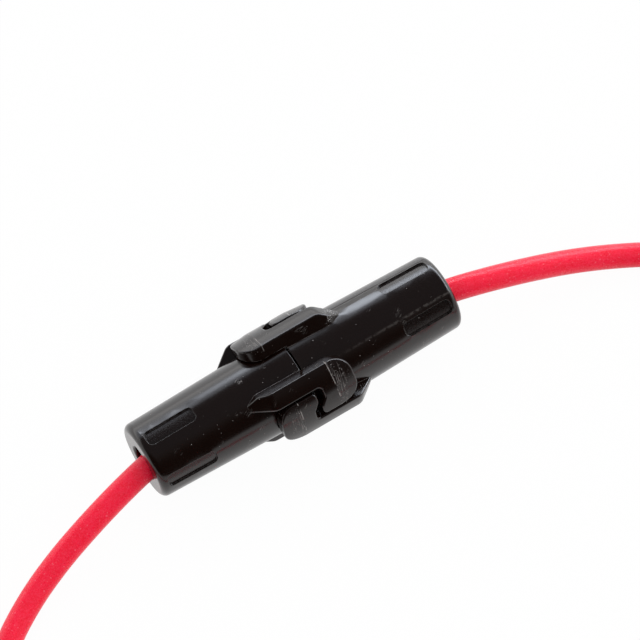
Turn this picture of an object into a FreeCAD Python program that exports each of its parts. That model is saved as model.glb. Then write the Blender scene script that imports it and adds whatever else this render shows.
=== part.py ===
import FreeCAD, Part
import math
import os

from FreeCAD import Vector

# In-line holder for a glass tube fuse: two moulded halves that push together, twist and lock.
# The axis of the holder runs along X, Z is up and the lowest hook touches z = 0.
# The parting plane between the halves is x = 0. All lengths are in millimetres.

# Moulded halves
body_length = 55.0            # over both end faces
parting_gap = 0.3             # between the two mouths at rest
mouth_radius = 7.05
end_radius = 6.35
end_round = 1.1
mouth_break = 0.12            # edge break round each mouth
bore_radius = 4.1
bore_depth = 19.5             # from the parting plane to the shoulder
lead_hole_radius = 2.8
hole_round = 0.4              # rounded rim where the lead comes out

# Hook arms, three pairs round the parting line
arm_pairs = 3
first_pair_angle = 30.0       # from +Y towards +Z
arm_radius = 9.3              # crest of the arms
arm_clearance = 0.3           # under a head, over the other half
arm_tip = 10.3                # from the parting plane to the pointed root of the rail
ramp_length = 3.5             # slope from the root of the rail up to the crest
bow_length = 2.0              # taper of the rail in plan, behind its tip
bow_width = 1.1
head_reach = 6.9              # of the head, past the parting plane
head_corner = 3.1
head_angle = 15.0             # half width of the gap's side of the head, seen from the axis
rail_angle = 17.3             # inner side of the rail; the difference is the running gap
side_angle = 36.0             # outer side of rail and head, at the crest
side_lean = 0.28              # the outer side leans in by this share of its height
lead_in_start = 3.4           # on the head: from here on the crest falls away
lead_in_drop = 0.33
nose_set_back = 0.12          # nose of the hook, past the parting plane
notch_depth = 1.1             # floor of the notch, past the parting plane
nose_angle = 4.0
notch_angle = 5.0
nose_corner = 0.85
notch_corner = 0.8
arm_sink = 4.6                # the arms are let into the wall down to this height
crest_round = 0.3             # between the sides of an arm and its crest

# Grip recesses near the closed ends
recess_count = 5
recess_length = 8.6
recess_inset = 1.3            # from the end face
recess_width = 2.5
recess_corner = 0.85
recess_depth = 0.35
left_recess_angle = 12.0
right_recess_angle = 62.5

# Fuse
fuse_length = 32.0
cap_radius = 3.175
cap_wall = 0.2
cap_end_wall = 0.3
cap_length = 6.0
cap_round = 0.3
glass_wall = 0.6
element_radius = 0.2
solder_radius = 1.1
solder_height = 0.8

# Contacts and spring
contact_wall = 0.5
contact_radius = 3.8
contact_skirt = 4.5
contact_round = 0.3
crimp_radius = 1.85
crimp_length = 4.0
crimp_flat = 1.5              # height of the pressed flats over the axis
crimp_flat_length = 2.4
spring_wire = 0.7
spring_coil_radius = 3.2      # to the middle of the wire
spring_turns = 4

# Leads
lead_radius = 2.0
strand_radius = 1.15          # bundle of copper strands
stripped_length = 8.0
lead_start_gap = 0.1          # from the crimp to the end of the insulation

axis_height = arm_radius
half_length = body_length / 2
contact_seat = bore_depth     # the right contact bears on the shoulder
fuse_right = contact_seat - contact_wall
fuse_left = fuse_right - fuse_length
left_contact_back = fuse_left - contact_wall
left_crimp_end = left_contact_back - crimp_length
right_crimp_end = contact_seat + crimp_length
lead_left_start = left_crimp_end - lead_start_gap
lead_right_start = right_crimp_end + lead_start_gap

# Routes of the two leads past their first points, laid on the surface the holder lies on
lead_left_bends = [
    (-31.0, -1.0, 8.6), (-38.8, -2.9, 6.8), (-46.4, -5.0, 4.6), (-53.4, -7.8, 2.7),
    (-60.4, -12.4, 2.0), (-65.7, -19.9, 2.0), (-67.6, -28.9, 2.0), (-65.8, -38.4, 2.0),
    (-60.1, -46.4, 2.0), (-51.9, -51.3, 2.0), (-42.6, -52.6, 2.0), (-33.7, -50.4, 2.0),
    (-25.5, -47.8, 2.0), (-16.7, -48.2, 2.0), (-8.7, -51.9, 2.0), (-2.7, -58.4, 2.0)]
lead_right_bends = [
    (33.6, -1.0, 9.0), (40.8, -2.9, 7.1), (48.2, -4.7, 4.6), (55.2, -6.7, 2.6),
    (62.4, -10.6, 2.0), (68.1, -17.3, 2.0), (71.1, -26.2, 2.0), (70.9, -36.8, 2.0),
    (68.1, -48.3, 2.0), (61.8, -57.6, 2.0), (52.6, -63.6, 2.0), (41.5, -65.8, 2.0),
    (31.5, -66.2, 2.0), (23.4, -67.0, 2.0)]
lead_left_turn_in = -24.0     # where each lead first bends, on the axis
lead_right_turn_in = 27.6
run_share = 0.45              # of the shorter run, taken by an arc

PARTS = {}


def rounded_path(corners, closed):
    """Straight edges through the corners (point, radius), joined by tangent arcs."""
    edges = []
    count = len(corners)
    ends = []
    for i, (point, radius) in enumerate(corners):
        inner = closed or 0 < i < count - 1
        if not inner or radius <= 0:
            ends.append((point, None, point))
            continue
        back = (corners[i - 1][0] - point).normalize()
        ahead = (corners[(i + 1) % count][0] - point).normalize()
        half = back.getAngle(ahead) / 2
        set_back = radius / math.tan(half)
        middle = (back + ahead).normalize()
        middle = point + middle * (radius / math.sin(half) - radius)
        ends.append((point + back * set_back, middle, point + ahead * set_back))
    for i, (start, middle, stop) in enumerate(ends):
        if middle is not None:
            edges.append(Part.Arc(start, middle, stop).toShape())
        if closed or i < count - 1:
            following = ends[(i + 1) % count][0]
            if stop.distanceToPoint(following) > 1e-6:
                edges.append(Part.LineSegment(stop, following).toShape())
    return Part.Wire(edges)


def turned(corners):
    """Solid of revolution about the X axis from corners (x, radius, rounding)."""
    wire = rounded_path([(Vector(x, r, 0), rounding) for x, r, rounding in corners], True)
    return Part.Face(wire).revolve(Vector(0, 0, 0), Vector(1, 0, 0), 360)


def cylinder(radius, start, stop):
    return Part.makeCylinder(radius, stop - start, Vector(start, 0, 0), Vector(1, 0, 0))


def about_axis(shape, angle):
    """Copy of the shape turned about the holder's axis by an angle in degrees."""
    copy = shape.copy()
    copy.rotate(Vector(0, 0, 0), Vector(1, 0, 0), angle)
    return copy


def flipped(shape):
    """The other half: half a turn about the line through the middle of a hook pair."""
    copy = shape.copy()
    pair = math.radians(first_pair_angle)
    copy.rotate(Vector(0, 0, 0), Vector(0, math.cos(pair), math.sin(pair)), 180)
    return copy


def wall_radius(x):
    """Radius of the tapered wall at a distance x from the parting plane."""
    return mouth_radius + (end_radius - mouth_radius) * abs(x) / half_length


# Hook arms

def arm_outline(height):
    """Plan of one arm at a height over the axis: rail, head, nose and notch."""
    scale = height / arm_radius
    side = arm_radius * math.sin(math.radians(side_angle))
    crest_height = arm_radius * math.cos(math.radians(side_angle))
    side += side_lean * (height - crest_height)

    def across(angle):
        return height * math.tan(math.radians(angle))

    bow_side = side - (side - across(rail_angle) - bow_width) / 2
    corners = [
        (-arm_tip, -bow_side, 0.3),
        (-arm_tip + bow_length, -side, 1.2),
        (head_reach, -side, head_corner),
        (head_reach, across(head_angle), head_corner * scale),
        (nose_set_back, across(head_angle), nose_corner * scale),
        (nose_set_back, across(nose_angle), nose_corner * scale),
        (notch_depth, -across(notch_angle), notch_corner * scale),
        (notch_depth, -across(rail_angle), notch_corner * scale),
        (-arm_tip + 2 * bow_length, -across(rail_angle), 2.0),
        (-arm_tip, -bow_side + bow_width, 0.3)]
    return rounded_path([(Vector(x, height, w), r) for x, w, r in corners], True)


def crest_envelope():
    """What the crests of the arms fit in: ramp, crest and the lead-in at the head's end."""
    ramp_top = -arm_tip + ramp_length
    root_radius = wall_radius(arm_tip) - 0.1
    slope = (arm_radius - root_radius) / ramp_length
    return turned([
        (-arm_tip - 1.0, root_radius - slope, 0),
        (ramp_top, arm_radius, 2.0),
        (lead_in_start, arm_radius, 0),
        (head_reach, arm_radius - lead_in_drop, 0),
        (head_reach + 1.0, arm_radius - lead_in_drop, 0),
        (head_reach + 1.0, 1.0, 0),
        (-arm_tip - 1.0, 1.0, 0)])


def crest_edges(arm):
    """Edges between the sides of an arm and its crest."""
    chosen = []
    for edge in arm.Edges:
        radii = []
        for share in (0.0, 0.5, 1.0):
            span = edge.LastParameter - edge.FirstParameter
            point = edge.valueAt(edge.FirstParameter + share * span)
            radii.append(math.hypot(point.y, point.z))
        on_crest = min(radii) > arm_radius - lead_in_drop - 0.02
        across = abs(edge.Vertexes[0].X - edge.Vertexes[-1].X) < 1e-4
        inner = across and abs(edge.Vertexes[0].X) < head_reach - head_corner
        if on_crest and not inner:
            chosen.append(edge)
    return chosen


def hook_arm():
    """One arm at pair angle 0: rail on the left half, head over the right half."""
    sides = [arm_outline(arm_sink), arm_outline(arm_radius + 0.5)]
    arm = Part.makeLoft(sides, True, True).common(crest_envelope())
    mouth = -parting_gap / 2
    arm = arm.cut(cylinder(mouth_radius + arm_clearance, mouth, head_reach + 2.0))
    return arm.makeFillet(crest_round, crest_edges(arm))


# Moulded half

def grip_recess():
    """Cutter for one recess at angle 0: a slot whose floor follows the taper of the wall."""
    start = -half_length + recess_inset
    stop = start + recess_length
    half_width = recess_width / 2
    low = end_radius - 2 * recess_depth
    corners = [(start, -half_width), (start, half_width), (stop, half_width), (stop, -half_width)]
    wire = rounded_path([(Vector(x, low, w), recess_corner) for x, w in corners], True)
    slot = Part.Face(wire).extrude(Vector(0, mouth_radius, 0))
    floor = turned([
        (start - 1.0, wall_radius(start - 1.0) - recess_depth, 0),
        (stop + 1.0, wall_radius(stop + 1.0) - recess_depth, 0),
        (stop + 1.0, 1.0, 0),
        (start - 1.0, 1.0, 0)])
    return slot.cut(floor)


def barrel_wall():
    """Tapered tube with a shoulder in its bore and a smaller hole for the lead."""
    mouth = -parting_gap / 2
    return turned([
        (mouth, bore_radius, mouth_break),
        (mouth, mouth_radius, mouth_break),
        (-half_length, end_radius, end_round),
        (-half_length, lead_hole_radius, hole_round),
        (-bore_depth, lead_hole_radius, 0),
        (-bore_depth, bore_radius, 0)])


def moulded_half(recess_angle):
    """Left half of the holder: wall, three hook arms and the grip recesses."""
    half = barrel_wall()
    recess = grip_recess()
    for k in range(recess_count):
        half = half.cut(about_axis(recess, recess_angle + k * 360 / recess_count))
    arm = hook_arm()
    for k in range(arm_pairs):
        half = half.fuse(about_axis(arm, first_pair_angle + k * 360 / arm_pairs))
    return half.removeSplitter()


PARTS["barrel_left"] = moulded_half(left_recess_angle)
PARTS["barrel_right"] = flipped(moulded_half(2 * first_pair_angle - right_recess_angle))


# Fuse, from its left end to its right end

def fuse_cap():
    """Drawn cap with its end wall at x = 0 and its skirt towards +x."""
    return turned([
        (0, 0, 0),
        (0, cap_radius, cap_round),
        (cap_length, cap_radius, 0),
        (cap_length, cap_radius - cap_wall, 0),
        (cap_end_wall, cap_radius - cap_wall, 0),
        (cap_end_wall, 0, 0)])


def solder_bead():
    """Low mound of solder on the inside of a cap's end wall."""
    top = cap_end_wall + solder_height
    return turned([
        (cap_end_wall, 0, 0),
        (cap_end_wall, solder_radius, 0.05),
        (top, 2 * element_radius, 0.3),
        (top, 0, 0)])


def at_left_end(shape):
    copy = shape.copy()
    copy.translate(Vector(fuse_left, 0, 0))
    return copy


def at_right_end(shape):
    copy = shape.mirror(Vector(0, 0, 0), Vector(1, 0, 0))
    copy.translate(Vector(fuse_right, 0, 0))
    return copy


glass_start = fuse_left + cap_end_wall
glass_stop = fuse_right - cap_end_wall
glass_radius = cap_radius - cap_wall
PARTS["fuse_glass"] = cylinder(glass_radius, glass_start, glass_stop).cut(
    cylinder(glass_radius - glass_wall, glass_start - 1, glass_stop + 1))
PARTS["fuse_cap_left"] = at_left_end(fuse_cap())
PARTS["fuse_cap_right"] = at_right_end(fuse_cap())
PARTS["fuse_solder_left"] = at_left_end(solder_bead())
PARTS["fuse_solder_right"] = at_right_end(solder_bead())
PARTS["fuse_element"] = cylinder(
    element_radius, glass_start + solder_height, glass_stop - solder_height)


# Contacts: a cup for the fuse's cap with a crimp tube behind it

def contact():
    """Cup with its floor at x = 0 and its mouth towards +x, crimp tube towards -x."""
    cup_bore = contact_radius - contact_wall
    cup = turned([
        (-contact_wall, strand_radius, 0),
        (-contact_wall, contact_radius, contact_round),
        (contact_skirt, contact_radius, 0.15),
        (contact_skirt, cup_bore, 0.15),
        (0, cup_bore, 0),
        (0, strand_radius, 0)])
    crimp_start = -contact_wall - crimp_length
    tube = cylinder(crimp_radius, crimp_start, -contact_wall)
    flat_start = crimp_start + (crimp_length - crimp_flat_length) / 2
    for side in (-1, 1):
        low = crimp_flat if side > 0 else -crimp_flat - crimp_radius
        corner = Vector(flat_start, -crimp_radius, low)
        tube = tube.cut(Part.makeBox(crimp_flat_length, 2 * crimp_radius, crimp_radius, corner))
    tube = tube.cut(cylinder(strand_radius, crimp_start - 1, 1))
    return cup.fuse(tube).removeSplitter()


def strands():
    """Bundle of strands that fills the crimp tube and ends flush with the cup's floor."""
    return cylinder(strand_radius, -contact_wall - crimp_length - lead_start_gap, 0)


PARTS["contact_left"] = at_left_end(contact())
PARTS["contact_right"] = at_right_end(contact())
PARTS["strands_left"] = at_left_end(strands())
PARTS["strands_right"] = at_right_end(strands())


# Spring between the left shoulder and the left contact

def contact_spring():
    """Coil of round wire with both ends ground flat, so that they seat on their faces."""
    wire_radius = spring_wire / 2
    rise = left_contact_back + bore_depth
    helix = Part.makeHelix(rise / spring_turns, rise, spring_coil_radius)
    section = Part.Wire(Part.makeCircle(
        wire_radius, Vector(spring_coil_radius, 0, 0), Vector(0, 1, 0)))
    coil = Part.Wire(helix.Edges).makePipeShell([section], True, True)
    coil = coil.common(Part.makeCylinder(spring_coil_radius + spring_wire, rise))
    coil.rotate(Vector(0, 0, 0), Vector(0, 1, 0), 90)
    coil.translate(Vector(-bore_depth, 0, 0))
    return coil


PARTS["contact_spring"] = contact_spring()

for shape in PARTS.values():
    shape.translate(Vector(0, 0, axis_height))


# Leads

def lead_corners(start, turn_in, bends):
    """Corner points of a lead, each with the radius of the arc that its runs allow."""
    points = [Vector(start, 0, axis_height), Vector(turn_in, 0, axis_height)]
    points += [Vector(*bend) for bend in bends]
    corners = [(points[0], 0)]
    for before, point, after in zip(points, points[1:], points[2:]):
        back = before - point
        ahead = after - point
        half_turn = (math.pi - back.getAngle(ahead)) / 2
        shorter = min(back.Length, ahead.Length)
        corners.append((point, run_share * shorter / math.tan(half_turn)))
    corners.append((points[-1], 0))
    return corners


def lead(name, corners):
    """Insulated tube along its route, with the bare strands beyond its far end."""
    path = rounded_path(corners, False)
    start = corners[0][0]
    along = corners[1][0] - start
    section = Part.Wire(Part.makeCircle(lead_radius, start, along))
    PARTS["lead_" + name] = path.makePipeShell([section], True, True)
    stop = corners[-1][0]
    along = (stop - corners[-2][0]).normalize()
    PARTS["bare_end_" + name] = Part.makeCylinder(strand_radius, stripped_length, stop, along)
    radii = ", ".join("%.1f" % radius for point, radius in corners[1:-1])
    whole = math.pi * lead_radius ** 2 * path.Length
    print("lead_%s: length %.2f, arc radii %s" % (name, path.Length, radii))
    print("volume %.2f, section by length %.2f" % (PARTS["lead_" + name].Volume, whole))


lead("left", lead_corners(lead_left_start, lead_left_turn_in, lead_left_bends))
lead("right", lead_corners(lead_right_start, lead_right_turn_in, lead_right_bends))

os.makedirs("parts", exist_ok=True)
for name, shape in PARTS.items():
    print("%-18s solids %d valid %s volume %.3f" % (
        name, len(shape.Solids), shape.isValid(), shape.Volume))
    shape.exportStep("parts/" + name + ".step")
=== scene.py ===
"""Looks of the inline fuse holder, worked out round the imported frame. Lengths are in metres."""
import math

import bpy
import numpy as np
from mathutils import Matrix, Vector

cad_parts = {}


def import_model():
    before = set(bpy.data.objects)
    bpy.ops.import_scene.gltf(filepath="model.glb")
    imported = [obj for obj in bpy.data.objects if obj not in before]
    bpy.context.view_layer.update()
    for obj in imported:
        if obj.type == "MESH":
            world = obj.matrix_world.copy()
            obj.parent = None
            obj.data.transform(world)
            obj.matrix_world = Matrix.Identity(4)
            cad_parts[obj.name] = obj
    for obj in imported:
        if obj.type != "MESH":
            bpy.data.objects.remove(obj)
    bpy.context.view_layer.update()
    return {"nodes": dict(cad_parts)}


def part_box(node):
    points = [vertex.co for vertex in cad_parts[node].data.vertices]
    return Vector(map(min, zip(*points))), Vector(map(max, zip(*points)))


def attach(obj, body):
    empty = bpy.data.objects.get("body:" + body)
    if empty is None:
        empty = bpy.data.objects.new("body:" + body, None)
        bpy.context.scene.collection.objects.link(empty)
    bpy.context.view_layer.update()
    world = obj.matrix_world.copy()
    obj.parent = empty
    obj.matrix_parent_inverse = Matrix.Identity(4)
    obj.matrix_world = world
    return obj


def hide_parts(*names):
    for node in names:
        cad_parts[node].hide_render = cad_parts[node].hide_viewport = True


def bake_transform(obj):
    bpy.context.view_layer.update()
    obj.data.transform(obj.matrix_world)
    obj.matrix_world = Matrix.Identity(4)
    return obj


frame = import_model()

# Camera, as the photograph was taken: a long lens, well above the holder and a little to its left
CAMERA_AZIMUTH = -32.0
CAMERA_ELEVATION = 67.0
CAMERA_DISTANCE = 0.580
CAMERA_TARGET = Vector((0.0076865, 0.0045758, 0.0126762))
PIXELS_PER_METRE = 6400.0     # at the camera's target
PICTURE_WIDTH = 640
SENSOR_WIDTH = 36.0

# Body: the sizes of part.py that the finishes go by
AXIS_HEIGHT = 0.0093
HALF_LENGTH = 0.0275
MOUTH_RADIUS = 0.00705
END_RADIUS = 0.00635
HEAD_REACH = 0.0069           # of a hook, past the parting line
LEAD_IN_START = 0.0034        # on a hook: from here on its crest falls away
RAIL_TIP = 0.0103
RECESS_SPAN = (0.0176, 0.0262)

# Lines of the mould on the right half, in degrees from +Y towards +Z
MOULD_LINE = 48.8
FLOW_LINE = 116.8

# Leads: the routes of part.py, moved by up to 0.9 mm to lie as in the photograph
LEAD_RADIUS = 0.002
CORE_RADIUS = 0.00115
BARE_LENGTH = 0.008
LEAD_LEFT_LENGTH = 0.1460
LEAD_RIGHT_LENGTH = 0.1331
STRAND_TWIST = 0.026          # length of one turn
LEAD_LEFT_ROUTE = [
    (-0.0176, 0, 0.0093), (-0.0240, -0.0002, 0.0092), (-0.0309, -0.0015, 0.0083),
    (-0.0387, -0.0033, 0.0066), (-0.0463, -0.0054, 0.0045), (-0.0533, -0.0082, 0.0027),
    (-0.0604, -0.0127, 0.0020), (-0.0657, -0.0199, 0.0020), (-0.0676, -0.0289, 0.0020),
    (-0.0658, -0.0384, 0.0020), (-0.0601, -0.0464, 0.0020), (-0.0519, -0.0513, 0.0020),
    (-0.0426, -0.0526, 0.0020), (-0.0337, -0.0504, 0.0020), (-0.0255, -0.0478, 0.0020),
    (-0.0167, -0.0482, 0.0020), (-0.0087, -0.0519, 0.0020), (-0.0027, -0.0584, 0.0020)]
LEAD_RIGHT_ROUTE = [
    (0.0236, 0, 0.0093), (0.0275, -0.0004, 0.0090), (0.0334, -0.0017, 0.0086),
    (0.0407, -0.0032, 0.0070), (0.0482, -0.0048, 0.0046), (0.0552, -0.0070, 0.0026),
    (0.0624, -0.0106, 0.0020), (0.0681, -0.0173, 0.0020), (0.0711, -0.0262, 0.0020),
    (0.0709, -0.0368, 0.0020), (0.0681, -0.0483, 0.0020), (0.0618, -0.0576, 0.0020),
    (0.0526, -0.0636, 0.0020), (0.0415, -0.0658, 0.0020), (0.0315, -0.0662, 0.0020),
    (0.0234, -0.0670, 0.0020)]

# Contact spring, as in part.py
SPRING_WIRE = 0.0007
SPRING_REACH = 0.0032
SPRING_TURNS = 4

# How fine the meshes are: rows along a tube, columns round it
ROUTE_STEPS = 14              # between two points of a route
COVER_COLUMNS = 40
STRAND_ROWS = 24
STRAND_COLUMNS = 10
COIL_ROWS = 36                # a turn
COIL_COLUMNS = 12

# Studio: ways are unit vectors from the holder
AWAY = (0.53, 0.848, 0.0)                 # level, straight away from the camera
DIM_CEILING = (-0.195, -0.303, 0.933)     # its middle
CEILING_EDGE = (0.392, 0.420)             # cosines of the angle from its middle
TENT = 1.08
TENT_LEAN = (0.50, 0.24, 0.0)             # share by which it gains towards the far right
FAR_WALL = 2.5
NEAR_WALL = 1.0
WINDOW = 10.5
WHITE = (1.0, 1.0, 1.0)
BLUISH = (0.84, 0.90, 1.0)
FLOOR_HALF = 3.0
FLOOR_SEEN = 0.965                        # share of plain white that the camera sees on the floor
FLOOR_SHINE = 0.55                        # the same share for what gloss shows of it
FLOOR_GAIN = 0.3                          # by which that white is brighter in gloss


# Shader building

class Board:
    """One node tree with short calls for the nodes that the finishes share."""

    def __init__(self, tree):
        self.tree, self.nodes, self.links = tree, tree.nodes, tree.links

    def put(self, socket, value):
        if isinstance(value, bpy.types.NodeSocket):
            self.links.new(value, socket)
        elif isinstance(value, tuple) and len(value) == 3 and socket.type == "RGBA":
            socket.default_value = (*value, 1)
        else:
            socket.default_value = value

    def node(self, kind, inputs=(), **settings):
        made = self.nodes.new("ShaderNode" + kind)
        for name, value in settings.items():
            setattr(made, name, value)
        for key, value in dict(inputs).items():
            self.put(made.inputs[key], value)
        return made

    def math(self, operation, *values, clamp=False):
        made = self.node("Math", dict(enumerate(values)), operation=operation)
        made.use_clamp = clamp
        return made.outputs[0]

    def both(self, *masks):
        """Product of the masks."""
        product = masks[0]
        for mask in masks[1:]:
            product = self.math("MULTIPLY", product, mask)
        return product

    def most(self, *masks, clamp=False):
        """Highest of the masks, with clamp at most 1."""
        highest = masks[0]
        for mask in masks[1:]:
            highest = self.math("MAXIMUM", highest, mask, clamp=clamp)
        return highest

    def total(self, *parts, clamp=False):
        """Sum of value * share over the parts (value, share), with clamp at most 1."""
        summed = self.math("MULTIPLY", *parts[0])
        for part in parts[1:]:
            summed = self.math("ADD", summed, self.math("MULTIPLY", *part), clamp=clamp)
        return summed

    def other(self, mask):
        """What the mask leaves of 1."""
        return self.math("SUBTRACT", 1.0, mask)

    def vector(self, operation, *values):
        made = self.node("VectorMath", dict(enumerate(values)), operation=operation)
        return made.outputs["Value" if operation == "DOT_PRODUCT" else "Vector"]

    def step(self, value, low, high, at_low=0.0, at_high=1.0):
        """Smooth step from at_low, where value is low, to at_high, where it is high."""
        return self.node("MapRange", {"Value": value, "From Min": low, "From Max": high,
                                      "To Min": at_low, "To Max": at_high},
                         interpolation_type="SMOOTHSTEP").outputs["Result"]

    def mix(self, share, first, second):
        """Numbers mixed: first where share is 0, second where it is 1."""
        return self.node("Mix", {0: share, 2: first, 3: second}, data_type="FLOAT").outputs[0]

    def tint(self, share, first, second):
        """Colours mixed in the same way."""
        return self.node("Mix", {0: share, 6: first, 7: second}, data_type="RGBA").outputs[2]

    def noise(self, place, scale, detail=2.0, rough=0.5, output="Fac"):
        return self.node("TexNoise", {"Vector": place, "Scale": scale, "Detail": detail,
                                      "Roughness": rough}).outputs[output]

    def stretched(self, place, scale):
        return self.node("Mapping", {"Vector": place, "Scale": scale}).outputs[0]

    def group(self, tree, **inputs):
        made = self.nodes.new("ShaderNodeGroup")
        made.node_tree = tree
        for name, value in inputs.items():
            self.put(made.inputs[name], value)
        return made.outputs

    def bump(self, height, distance, normal=None):
        made = self.node("Bump", {"Height": height, "Distance": distance, "Strength": 1.0})
        if normal is not None:
            self.put(made.inputs["Normal"], normal)
        return made.outputs[0]


def group_tree(name, inputs, outputs):
    """New shader node group; gives its board, its input sockets and its output node's sockets."""
    tree = bpy.data.node_groups.new(name, "ShaderNodeTree")
    for label, kind, value in inputs:
        socket = tree.interface.new_socket(label, in_out="INPUT", socket_type="NodeSocket" + kind)
        if value is not None:
            socket.default_value = value
    for label, kind in outputs:
        tree.interface.new_socket(label, in_out="OUTPUT", socket_type="NodeSocket" + kind)
    board = Board(tree)
    given = board.nodes.new("NodeGroupInput").outputs
    return board, given, board.nodes.new("NodeGroupOutput").inputs


def material(name):
    """New material; gives it, its board, its Principled shader and Object coordinates."""
    made = bpy.data.materials.new(name)
    made.use_nodes = True
    board = Board(made.node_tree)
    place = board.node("TexCoord").outputs["Object"]
    return made, board, board.nodes["Principled BSDF"], place


def finish_with(board, shader, **values):
    """Sockets of the Principled shader by name, with _ for a space."""
    for name, value in values.items():
        board.put(shader.inputs[name.replace("_", " ")], value)


def dust_group():
    """Specks: the middles of a share of Voronoi cells, of uneven size, thicker in some patches."""
    b, given, out = group_tree(
        "dust", [("Place", "Vector", None), ("Scale", "Float", 2000.0), ("Share", "Float", 0.1),
                 ("Size", "Float", 0.2), ("Seed", "Float", 0.0)], [("Mask", "Float")])
    moved = b.vector("ADD", given["Place"], b.node("CombineXYZ", {0: given["Seed"]}).outputs[0])
    wobble = b.node("VectorMath", {0: b.noise(moved, 9000.0, 1.0, output="Color"),
                                   "Scale": 0.00010}, operation="SCALE").outputs[0]
    cell = b.node("TexVoronoi", {"Vector": b.vector("ADD", moved, wobble),
                                 "Scale": given["Scale"]})
    draw = b.node("SeparateColor", {0: cell.outputs["Color"]}).outputs
    patch = b.step(b.noise(moved, 260.0, 1.0), 0.35, 0.7, 0.3, 1.7)
    kept = b.math("LESS_THAN", draw[0], b.math("MULTIPLY", given["Share"], patch))
    reach = b.math("MULTIPLY", given["Size"], b.math("ADD", 0.35, draw[1]))
    near = b.node("MapRange", {"Value": cell.outputs["Distance"], "From Min": reach,
                               "From Max": b.math("MULTIPLY", reach, 0.6)}).outputs["Result"]
    b.put(out["Mask"], b.both(kept, near))
    return b.tree


def scratch_group():
    """Scratches: middle level of a noise drawn out along one way, broken up by a coarser noise."""
    b, given, out = group_tree(
        "scratches", [("Place", "Vector", None), ("Across", "Float", 3000.0),
                      ("Along", "Float", 150.0), ("Turn", "Float", 0.0),
                      ("Amount", "Float", 0.5)], [("Mask", "Float")])
    turned = b.node("VectorRotate", {"Vector": given["Place"], "Axis": (0.0, 0.0, 1.0),
                                     "Angle": given["Turn"]},
                    rotation_type="AXIS_ANGLE").outputs[0]
    scale = b.node("CombineXYZ", {0: given["Across"], 1: given["Along"],
                                  2: given["Along"]}).outputs[0]
    level = b.math("SUBTRACT", b.noise(b.vector("MULTIPLY", turned, scale), 1.0, 1.0), 0.5)
    thin = b.step(b.math("ABSOLUTE", level), 0.022, 0.004)
    broken = b.step(b.noise(given["Place"], 420.0, 2.0), b.math("SUBTRACT", 0.72, given["Amount"]),
                    b.math("SUBTRACT", 0.82, given["Amount"]))
    b.put(out["Mask"], b.both(thin, broken))
    return b.tree


def edge_group():
    """Edges: where the normal, rounded over Width, turns away from the face's own normal."""
    b, given, out = group_tree(
        "edges", [("Place", "Vector", None), ("Width", "Float", 0.0001)],
        [("Mask", "Float"), ("Normal", "Vector")])
    rounded = b.node("Bevel", {"Radius": given["Width"]}, samples=6).outputs[0]
    flat = b.node("NewGeometry").outputs["Normal"]
    apart = b.other(b.vector("DOT_PRODUCT", rounded, flat))
    uneven = b.step(b.noise(given["Place"], 900.0, 3.0), 0.3, 0.62)
    b.put(out["Mask"], b.both(b.step(apart, 0.006, 0.06), uneven))
    b.put(out["Normal"], rounded)
    return b.tree


def round_group():
    """Place on the holder: height over the body's wall, distance from the parting line, angle
    round the axis, and the side of the parting line."""
    b, given, out = group_tree(
        "round_the_axis", [("Place", "Vector", None)],
        [("Over Wall", "Float"), ("Along", "Float"), ("Angle", "Float"), ("Side", "Float")])
    x, y, z = b.node("SeparateXYZ", {0: given["Place"]}).outputs
    up = b.math("SUBTRACT", z, AXIS_HEIGHT)
    radius = b.math("SQRT", b.math("ADD", b.math("MULTIPLY", y, y), b.math("MULTIPLY", up, up)))
    along = b.math("ABSOLUTE", x)
    wall = b.node("MapRange", {"Value": along, "From Min": 0.0, "From Max": HALF_LENGTH,
                               "To Min": MOUTH_RADIUS, "To Max": END_RADIUS}).outputs["Result"]
    b.put(out["Over Wall"], b.math("SUBTRACT", radius, wall))
    b.put(out["Along"], along)
    b.put(out["Angle"], b.math("DEGREES", b.math("ARCTAN2", up, y)))
    b.put(out["Side"], b.math("SIGN", x))
    return b.tree


def grain_group():
    """Grain: a fine noise and a slow one, for mottled plastic, rubber and metal."""
    b, given, out = group_tree(
        "grain", [("Place", "Vector", None), ("Fine", "Float", 6000.0), ("Slow", "Float", 400.0)],
        [("Fine", "Float"), ("Slow", "Float")])
    b.put(out["Fine"], b.noise(given["Place"], given["Fine"], 3.0, 0.6))
    b.put(out["Slow"], b.noise(given["Place"], given["Slow"], 2.0, 0.5))
    return b.tree


DUST = dust_group()
SCRATCHES = scratch_group()
EDGES = edge_group()
ROUND = round_group()
GRAIN = grain_group()


# Finishes

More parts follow.
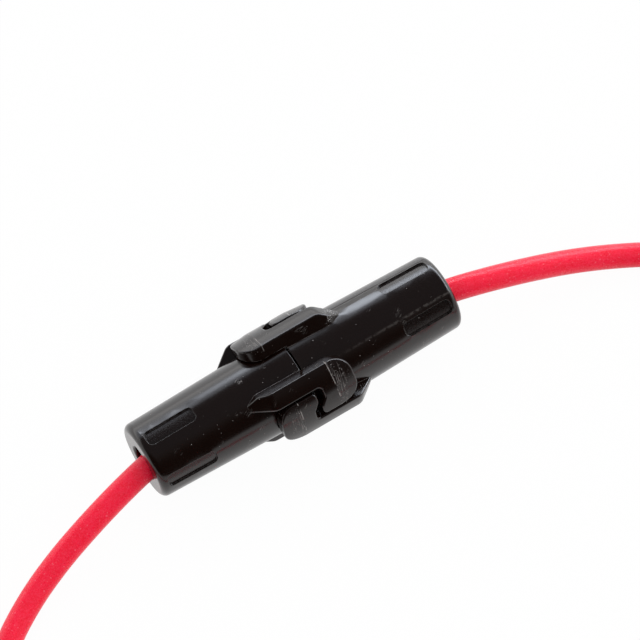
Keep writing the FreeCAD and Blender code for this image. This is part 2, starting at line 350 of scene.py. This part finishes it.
def moulding_zones(b, place, reach, worn_glinting_tip):
    """Masks by place on a black half, with its Along and Angle. Its hooks reach towards +X where
    reach is 1, and towards -X where it is -1. Its rails have frosted tips with a painted pale
    glint where its last argument is 1.
    Masks fade in between two heights over the body's wall and two distances from the parting
    line."""
    where = b.group(ROUND, Place=place)
    over, along = where["Over Wall"], where["Along"]
    first, last = RECESS_SPAN
    fade = 0.0002
    past = b.step(b.math("MULTIPLY", where["Side"], reach), 0.0, 0.5)
    behind = b.other(past)

    head = b.both(past, b.step(over, 0.0005, 0.0009))
    crest = b.both(head, b.step(over, 0.0013, 0.0019))
    lead_in = b.both(crest, b.step(along, LEAD_IN_START - 0.0005, LEAD_IN_START + 0.0001),
                     b.step(along, HEAD_REACH + 0.0002, LEAD_IN_START + 0.0004))
    tip = b.both(behind, b.step(over, 0.0002, 0.0006),
                 b.step(along, RAIL_TIP - 0.0034, RAIL_TIP - 0.0022, 0.0, worn_glinting_tip))
    from_bend = b.math("ABSOLUTE", b.math("SUBTRACT", along, LEAD_IN_START))
    # ridge: a broken line along the crest's bend, painted pale as a highlight
    ridge = b.both(crest, b.step(from_bend, 0.00010, 0.00004),
                   b.step(b.noise(place, 950.0, 4.0), 0.44, 0.62))
    recess = b.both(b.step(over, -0.00016, -0.00026), b.step(along, first - fade, first),
                    b.step(along, last + fade, last))
    at_recess = b.both(b.step(over, 0.00030, 0.00015),
                       b.step(along, first - 2 * fade, first - fade),
                       b.step(along, last + 2 * fade, last + fade))
    sunk = b.both(at_recess, b.step(over, -0.00003, -0.00008))
    wall = b.both(behind, b.step(over, 0.00025, 0.0001), b.step(over, -0.0003, -0.0001))
    return {"head": head, "rubbed": b.most(lead_in, tip), "tip": tip, "ridge": ridge,
            "recess": recess, "at_recess": at_recess, "sunk": sunk, "wall": wall,
            "along": along, "angle": where["Angle"]}


def black_moulding(name, reach, mould_line, flow_line, worn_glinting_tip):
    """Glossy black moulded plastic: dust and fine scratches all over, frosted scuffs where the
    hooks rub, rough recess floors, and a mould line and a flow line at the angles given. Pale
    painted highlights run along the edges (partly edge wear), the crests' bends and the flow line,
    and a painted glint lies on the worn rail tip."""
    made, b, shader, place = material(name)
    grain = b.group(GRAIN, Place=place, Fine=7000.0, Slow=330.0)
    zone = moulding_zones(b, place, reach, worn_glinting_tip)
    edges = b.group(EDGES, Place=place, Width=b.mix(zone["sunk"], 0.00013, 0.00030))

    def line(degrees, width):
        away = b.math("ABSOLUTE", b.math("SUBTRACT", zone["angle"], degrees))
        return b.both(zone["wall"], b.step(away, width, 0.0))

    mould = line(mould_line, 2.0)
    # flow line: a faint ridge, also painted pale as a highlight that brightens towards the end
    flow = b.both(line(flow_line, 3.0), b.step(b.noise(place, 1400.0, 3.0), 0.36, 0.58))

    # wear and dirt, and painted highlights along edges, crest bends and the flow line
    frosted = b.group(SCRATCHES, Place=place, Across=4300.0, Along=170.0, Turn=0.14,
                      Amount=b.math("MULTIPLY", zone["rubbed"], 0.36))["Mask"]
    slant = b.group(SCRATCHES, Place=place, Across=2600.0, Along=130.0, Turn=1.1,
                    Amount=0.10)["Mask"]
    lengthwise = b.group(SCRATCHES, Place=place, Across=240.0, Along=2300.0, Turn=-0.06,
                         Amount=0.06)["Mask"]
    scratched = b.most(b.both(frosted, zone["rubbed"], 1.5),
                       b.both(b.most(slant, lengthwise), 0.55))
    scuff_and_glint_dots = b.group(DUST, Place=place, Scale=4200.0, Share=0.36, Size=0.28, Seed=0.12)["Mask"]
    scuff_and_glint_dots = b.both(zone["rubbed"], scuff_and_glint_dots)
    specks = b.group(DUST, Place=place, Scale=1600.0, Share=0.20, Size=0.12)["Mask"]
    flecks = b.group(DUST, Place=place, Scale=620.0, Share=0.08, Size=0.06, Seed=0.37)["Mask"]
    dust = b.most(specks, flecks)

    # pale: dust, scratches and scuff dots, and painted highlights along the crest bends, the flow
    # line and the edges, where it is partly edge wear too
    pale = b.total((dust, 0.75), (scratched, 0.45), (scuff_and_glint_dots, 0.9), (zone["ridge"], 0.8),
                   (flow, b.step(zone["along"], 0.004, 0.022, 0.02, 0.15)),
                   (edges["Mask"], b.mix(zone["at_recess"], 0.5, 0.12)), clamp=True)
    colour = b.tint(pale, (0.0054, 0.0017, 0.0008), (0.26, 0.24, 0.23))
    # painted glint: the right rail tip's frosted scuff dots coloured pale grey
    colour = b.tint(b.both(zone["tip"], scuff_and_glint_dots), colour, (0.72, 0.72, 0.74))
    colour = b.tint(b.both(zone["recess"], b.step(grain["Fine"], 0.45, 0.7, 0.0, 0.16)),
                    colour, (0.030, 0.032, 0.038))

    rough = b.math("ADD", 0.145, b.math("MULTIPLY", grain["Slow"], 0.07))
    rough = b.mix(zone["recess"], rough, b.step(grain["Fine"], 0.3, 0.7, 0.17, 0.34))
    rough = b.mix(b.both(zone["head"], b.step(grain["Slow"], 0.35, 0.75, 0.25, 0.9)), rough, 0.22)
    rough = b.mix(b.both(zone["at_recess"], edges["Mask"]), rough, 0.45)
    rough = b.mix(b.most(dust, scuff_and_glint_dots, scratched, clamp=True), rough, 0.6)

    height = b.total((grain["Slow"], 0.35), (grain["Fine"], b.mix(zone["recess"], 0.006, 0.34)),
                     (scratched, -0.20), (dust, 0.5), (mould, -1.6), (flow, 0.12))
    finish_with(b, shader, Base_Color=colour, Roughness=rough, IOR=1.5,
                Specular_IOR_Level=b.mix(mould, 0.5, 0.08),
                Normal=b.bump(height, 0.00002, edges["Normal"]))
    return made


def red_insulation():
    """Soft red PVC: extrusion lines along the lead, fine orange peel, a few dark specks, and
    painted sheen: pinker patches and pale flecks standing in for glints.
    """
    made, b, shader, place = material("red_insulation")
    grain = b.group(GRAIN, Place=place, Fine=3600.0, Slow=700.0)
    metres = b.node("UVMap", uv_map="UVMap").outputs[0]
    drawn = b.noise(b.stretched(metres, (60.0, 2600.0, 1.0)), 1.0, 2.0)
    dirt = b.group(DUST, Place=place, Scale=900.0, Share=0.08, Size=0.12)["Mask"]
    # pale flecks: painted glints on the cover
    painted_glint_flecks = b.group(DUST, Place=place, Scale=1900.0, Share=0.75, Size=0.24, Seed=0.71)["Mask"]
    colour = b.tint(b.step(grain["Slow"], 0.3, 0.7), (0.87, 0.0012, 0.027), (0.92, 0.0026, 0.038))
    colour = b.tint(b.math("MULTIPLY", dirt, 0.45), colour, (0.33, 0.004, 0.012))
    # pinker patches: painted sheen
    painted_sheen_patches = b.step(b.noise(place, 4300.0, 1.0), 0.42, 0.66, 0.0, 0.7)
    colour = b.tint(painted_sheen_patches, colour, (0.95, 0.024, 0.070))
    colour = b.tint(b.math("MULTIPLY", painted_glint_flecks, 0.5), colour, (0.97, 0.16, 0.22))
    rough = b.step(grain["Fine"], 0.3, 0.7, 0.25, 0.38)
    height = b.total((grain["Fine"], 0.55), (drawn, 0.5), (grain["Slow"], 0.6))
    finish_with(b, shader, Base_Color=colour, Roughness=rough, IOR=1.5,
                Specular_IOR_Level=0.34, Normal=b.bump(height, 0.00005))
    return made


def metal(name, bright, dull, rough, slow=600.0):
    """Bare or plated metal: dull patches, fine grain and scratches."""
    made, b, shader, place = material(name)
    grain = b.group(GRAIN, Place=place, Fine=5000.0, Slow=slow)
    worn = b.group(SCRATCHES, Place=place, Across=2200.0, Along=160.0, Turn=0.7,
                   Amount=0.25)["Mask"]
    edges = b.group(EDGES, Place=place, Width=0.00006)
    patch = b.step(grain["Slow"], 0.38, 0.68)
    spread = b.math("ADD", rough, b.total((patch, 0.12), (worn, 0.15)))
    height = b.math("SUBTRACT", b.math("MULTIPLY", grain["Fine"], 0.3), worn)
    finish_with(b, shader, Base_Color=b.tint(patch, bright, dull), Roughness=spread,
                Metallic=1.0, Normal=b.bump(height, 0.000004, edges["Normal"]))
    return made


def clear_glass():
    """Clear drawn glass with a faint waviness along the tube and a few specks."""
    made, b, shader, place = material("fuse_glass")
    wave = b.noise(b.stretched(place, (60.0, 500.0, 500.0)), 1.0, 1.0)
    specks = b.group(DUST, Place=place, Scale=1400.0, Share=0.05, Size=0.12)["Mask"]
    finish_with(b, shader, Base_Color=b.tint(specks, (0.97, 0.99, 0.98), (0.6, 0.6, 0.58)),
                Roughness=b.mix(specks, 0.02, 0.4), IOR=1.5, Transmission_Weight=1.0,
                Normal=b.bump(wave, 0.00001))
    return made


# Only the right half turns its mould line, its flow line and a worn rail tip, with its painted
# glint, to the camera
LEFT_PLASTIC = black_moulding("black_moulding_left", 1.0, -MOULD_LINE, -FLOW_LINE, 0.0)
RIGHT_PLASTIC = black_moulding("black_moulding_right", -1.0, MOULD_LINE, FLOW_LINE, 1.0)
RED_PVC = red_insulation()
TINNED = metal("tinned_strands", (0.80, 0.79, 0.76), (0.55, 0.53, 0.50), 0.24)
COPPER = metal("copper_strands", (0.93, 0.50, 0.31), (0.62, 0.28, 0.17), 0.26)
PLATED = metal("plated_contact", (0.83, 0.79, 0.70), (0.66, 0.61, 0.52), 0.20)
STEEL = metal("spring_wire", (0.62, 0.61, 0.59), (0.42, 0.41, 0.40), 0.26)
NICKEL = metal("fuse_cap", (0.84, 0.82, 0.77), (0.70, 0.67, 0.62), 0.16)
SOLDER = metal("solder", (0.70, 0.70, 0.70), (0.50, 0.50, 0.51), 0.34, slow=1600.0)
ELEMENT = metal("fuse_wire", (0.78, 0.74, 0.66), (0.60, 0.55, 0.48), 0.22)
GLASS = clear_glass()

NODE_FINISH = {
    "barrel_left": LEFT_PLASTIC, "barrel_right": RIGHT_PLASTIC,
    "lead_left": RED_PVC, "lead_right": RED_PVC,
    "bare_end_left": TINNED, "bare_end_right": TINNED,
    "strands_left": COPPER, "strands_right": COPPER,
    "contact_left": PLATED, "contact_right": PLATED,
    "contact_spring": STEEL, "fuse_glass": GLASS, "fuse_element": ELEMENT,
    "fuse_cap_left": NICKEL, "fuse_cap_right": NICKEL,
    "fuse_solder_left": SOLDER, "fuse_solder_right": SOLDER}


def dress_nodes():
    """Give every CAD node its finish."""
    for name, node in frame["nodes"].items():
        node.data.materials.clear()
        node.data.materials.append(NODE_FINISH[name])


# Meshes

def surface(name, grids, finish, body="leads_and_fuse"):
    """One mesh of quad grids: each grid is rows x columns x 3 points, closed across its columns,
    with its first and last rows closed by a face. The UV map is metres along and round."""
    places, faces, layout = [], [], []
    start = 0
    for grid in grids:
        rows, columns = grid.shape[:2]
        index = start + np.arange(rows * columns).reshape(rows, columns)
        beside = np.roll(index, -1, axis=1)
        quads = np.stack([index[:-1], index[1:], beside[1:], beside[:-1]], axis=2)
        faces += quads.reshape(-1, 4).tolist()
        faces += [index[0].tolist(), index[-1, ::-1].tolist()]
        places.append(grid.reshape(-1, 3))
        steps = np.linalg.norm(np.diff(grid.mean(1), axis=0), axis=1)
        run = np.concatenate([[0.0], np.cumsum(steps)])
        width = np.linalg.norm(grid[0, 1] - grid[0, 0])
        metres = np.meshgrid(run, np.arange(columns) * width, indexing="ij")
        layout.append(np.stack(metres, axis=2).reshape(-1, 2))
        start += rows * columns
    mesh = bpy.data.meshes.new(name)
    mesh.from_pydata(np.concatenate(places).tolist(), [], faces)
    corner = np.empty(len(mesh.loops), dtype=np.int32)
    mesh.loops.foreach_get("vertex_index", corner)
    mesh.uv_layers.new(name="UVMap").data.foreach_set(
        "uv", np.concatenate(layout)[corner].astype(np.float32).ravel())
    mesh.polygons.foreach_set("use_smooth", np.ones(len(mesh.polygons), dtype=bool))
    mesh.update()
    piece = bpy.data.objects.new(name, mesh)
    bpy.context.scene.collection.objects.link(piece)
    mesh.materials.append(finish)
    if body:
        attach(piece, body)
    return piece


def centre_line(route):
    """Points along the NURBS spline whose control points are the route's points."""
    curve = bpy.data.curves.new("route", "CURVE")
    curve.dimensions = "3D"
    spline = curve.splines.new("NURBS")
    spline.points.add(len(route) - 1)
    for point, place in zip(spline.points, route):
        point.co = (*place, 1)
    spline.order_u = 3
    spline.use_endpoint_u = True
    spline.resolution_u = ROUTE_STEPS
    holder = bpy.data.objects.new("route", curve)
    mesh = bpy.data.meshes.new_from_object(holder)
    line = np.empty(len(mesh.vertices) * 3)
    mesh.vertices.foreach_get("co", line)
    bpy.data.objects.remove(holder)
    bpy.data.curves.remove(curve)
    bpy.data.meshes.remove(mesh)
    return line.reshape(-1, 3)


def frames(line):
    """Unit vectors at each point of the line: along it, level across it, and square to both."""
    tangent = np.gradient(line, axis=0)
    tangent /= np.linalg.norm(tangent, axis=1, keepdims=True)
    level = np.cross(tangent, (0.0, 0.0, 1.0))
    level /= np.linalg.norm(level, axis=1, keepdims=True)
    return tangent, level, np.cross(level, tangent)


def rings(line, radius, level, up, columns):
    """Grid of rings: point = line + radius * (cos a * level + sin a * up)."""
    angle = np.linspace(0, 2 * math.pi, columns, endpoint=False)[None, :, None]
    ring = np.cos(angle) * level[:, None] + np.sin(angle) * up[:, None]
    return line[:, None] + np.broadcast_to(radius, len(line))[:, None, None] * ring


# Leads

def insulation(name, line):
    """The lead's cover: a tube along the line whose cut end has a slightly rounded lip, a flat
    face and a hole for the core."""
    tangent, level, up = frames(line)
    clear_of_lip = 0.0002
    body = np.linalg.norm(line - line[-1], axis=1) > clear_of_lip
    # from the lip over the face into the hole: distance back from the cut, share of the radius
    lip = np.array([(0.00012, 1.0), (0.00004, 0.985), (0.0, 0.95), (0.0, 0.62),
                    (0.00005, 0.585), (0.0012, 0.58)])
    lip_line = line[-1] - lip[:, :1] * tangent[-1]
    cover = rings(line[body], LEAD_RADIUS, level[body], up[body], COVER_COLUMNS)
    face = rings(lip_line, lip[:, 1] * LEAD_RADIUS, level[-1:], up[-1:], COVER_COLUMNS)
    return surface(name, [np.concatenate([cover, face])], RED_PVC)


def strand_bundle(name, end, way, seed):
    """Bare core of 1, 6 and 12 wires, each a tube along a helix,
    point = end + s * way + reach * (cos(a + turn * s) * level + sin(a + turn * s) * up)."""
    random = np.random.default_rng(seed)
    inside, chamfer = 0.0010, 0.00003
    wire = CORE_RADIUS / 5
    turn = 2 * math.pi / STRAND_TWIST
    level = np.cross(way, (0.0, 0.0, 1.0))
    level /= np.linalg.norm(level)
    up = np.cross(level, way)
    grids = []
    for count, reach in ((1, 0.0), (6, 2 * wire), (12, 3.98 * wire)):
        for number in range(count):
            last = BARE_LENGTH - random.uniform(0.00003, 0.00022)
            s = np.append(np.linspace(-inside, last - chamfer, STRAND_ROWS), last)[:, None]
            a = 2 * math.pi * number / count + random.uniform(-0.03, 0.03) + turn * s
            line = end + s * way + reach * (np.cos(a) * level + np.sin(a) * up)
            radius = np.full(len(line), wire)
            radius[-1] *= 0.8
            tangent, beside, over = frames(line)
            grids.append(rings(line, radius, beside, over, STRAND_COLUMNS))
    return surface(name, grids, TINNED)


def make_leads():
    """Both leads: cover and bare strands along one route."""
    for side, route, length, seed in (
            ("left", LEAD_LEFT_ROUTE, LEAD_LEFT_LENGTH, 4),
            ("right", LEAD_RIGHT_ROUTE, LEAD_RIGHT_LENGTH, 9)):
        line = centre_line(route)
        cover = insulation("insulation_" + side, line)
        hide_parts("lead_" + side)
        way = np.array(route[-1]) - np.array(route[-2])
        strands = strand_bundle("strand_bundle_" + side, np.array(route[-1]),
                                way / np.linalg.norm(way), seed)
        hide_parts("bare_end_" + side)


# Contact spring

def spring_coil():
    """The contact spring as a tube along point = (x, reach * sin t, height - reach * cos t), x in
    proportion to t, its ends ground flat by clipping x."""
    low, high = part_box("contact_spring")
    turn = np.linspace(0, 2 * math.pi * SPRING_TURNS, COIL_ROWS * SPRING_TURNS + 1)
    run = low[0] + (high[0] - low[0]) * turn / turn[-1]
    out = np.stack([0 * turn, np.sin(turn), -np.cos(turn)], 1)
    line = np.stack([run, 0 * turn, np.full_like(turn, AXIS_HEIGHT)], 1) + SPRING_REACH * out
    tangent = np.gradient(line, axis=0)
    tangent /= np.linalg.norm(tangent, axis=1, keepdims=True)
    grid = rings(line, SPRING_WIRE / 2, out, np.cross(out, tangent), COIL_COLUMNS)
    grid[..., 0] = np.clip(grid[..., 0], low[0], high[0])
    coil = surface("spring_coil", [grid], STEEL, body=None)
    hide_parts("contact_spring")
    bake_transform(coil)


dress_nodes()
make_leads()
spring_coil()


# Studio

def world():
    """A white tent for all that is matt, of strength = TENT * (1 + dot(way, TENT_LEAN)). Gloss
    shows bright walls, brightest on the far side, a dim ceiling over the camera's side, and a
    long bluish window on the far right. The camera sees white."""
    made = bpy.data.worlds.new("studio")
    bpy.context.scene.world = made
    made.use_nodes = True
    b = Board(made.node_tree)
    b.nodes.clear()
    way = b.node("TexCoord").outputs["Generated"]
    x, y, z = b.node("SeparateXYZ", {0: way}).outputs
    far = b.vector("DOT_PRODUCT", way, AWAY)

    behind_camera = b.both(b.step(far, -0.52, -0.66), b.step(z, 0.02, 0.12))
    ceiling = b.most(behind_camera,
                     b.step(b.vector("DOT_PRODUCT", way, DIM_CEILING), *CEILING_EDGE))
    window = b.both(b.step(z, 0.27, 0.40), b.step(z, 0.60, 0.48),
                    b.step(x, 0.138, 0.152), b.step(y, -0.35, -0.25))
    walls = b.both(b.step(far, -0.25, 0.45, NEAR_WALL, FAR_WALL),
                   b.step(z, 0.12, 0.45, 1.0, 0.66))
    dim = b.step(far, -0.62, -0.20, 0.015, 0.165)
    bluish = b.most(window, b.both(ceiling, b.step(far, -0.45, -0.15)),
                    b.both(b.step(far, 0.2, 0.5), b.step(z, 0.15, 0.42)))
    gloss = b.node("Background", {"Color": b.tint(bluish, WHITE, BLUISH),
                                  "Strength": b.mix(window, b.mix(ceiling, walls, dim), WINDOW)})

    lean = b.vector("DOT_PRODUCT", way, TENT_LEAN)
    tent = b.node("Background", {"Color": WHITE,
                                 "Strength": b.math("MULTIPLY_ADD", lean, TENT, TENT)})
    white = b.node("Background", {"Color": WHITE, "Strength": 1.0})
    path = b.node("LightPath").outputs
    lit = b.node("MixShader", {0: path["Is Glossy Ray"], 1: tent.outputs[0],
                               2: gloss.outputs[0]})
    seen = b.node("MixShader", {0: path["Is Camera Ray"], 1: lit.outputs[0],
                                2: white.outputs[0]})
    b.put(b.node("OutputWorld").inputs["Surface"], seen.outputs[0])


def floor():
    """White, slightly shiny table. The camera sees most of it as plain white, and gloss more
    than half of it."""
    half = FLOOR_HALF
    mesh = bpy.data.meshes.new("floor")
    mesh.from_pydata([(-half, -half, 0), (half, -half, 0), (half, half, 0), (-half, half, 0)],
                     [], [(0, 1, 2, 3)])
    piece = bpy.data.objects.new("floor", mesh)
    bpy.context.scene.collection.objects.link(piece)
    made, b, shader, _ = material("floor")
    finish_with(b, shader, Base_Color=(0.90, 0.90, 0.90), Roughness=0.25, IOR=1.5)
    path = b.node("LightPath").outputs
    to_camera, to_gloss = path["Is Camera Ray"], path["Is Glossy Ray"]
    share = b.total((to_camera, FLOOR_SEEN), (to_gloss, FLOOR_SHINE), clamp=True)
    glow = b.node("Emission", {"Color": WHITE, "Strength": b.math(
        "MULTIPLY_ADD", to_gloss, FLOOR_GAIN, 1.0)})
    mix = b.node("MixShader", {0: share, 1: shader.outputs[0], 2: glow.outputs[0]})
    b.put(b.nodes["Material Output"].inputs["Surface"], mix.outputs[0])
    mesh.materials.append(made)


def camera():
    """Long lens at the photograph's azimuth, elevation and distance from its target."""
    lens = bpy.data.cameras.new("camera")
    lens.sensor_width = SENSOR_WIDTH
    lens.lens = SENSOR_WIDTH * PIXELS_PER_METRE * CAMERA_DISTANCE / PICTURE_WIDTH
    lens.clip_start = 0.01
    lens.clip_end = 20
    piece = bpy.data.objects.new("camera", lens)
    bpy.context.scene.collection.objects.link(piece)
    azimuth, elevation = math.radians(CAMERA_AZIMUTH), math.radians(CAMERA_ELEVATION)
    back = Vector((math.sin(azimuth) * math.cos(elevation),
                   -math.cos(azimuth) * math.cos(elevation), math.sin(elevation)))
    piece.location = CAMERA_TARGET + back * CAMERA_DISTANCE
    piece.rotation_mode = "QUATERNION"
    piece.rotation_quaternion = (-back).to_track_quat("-Z", "Y")
    bpy.context.scene.camera = piece


world()
floor()
camera()
bpy.context.scene.view_settings.view_transform = "Standard"
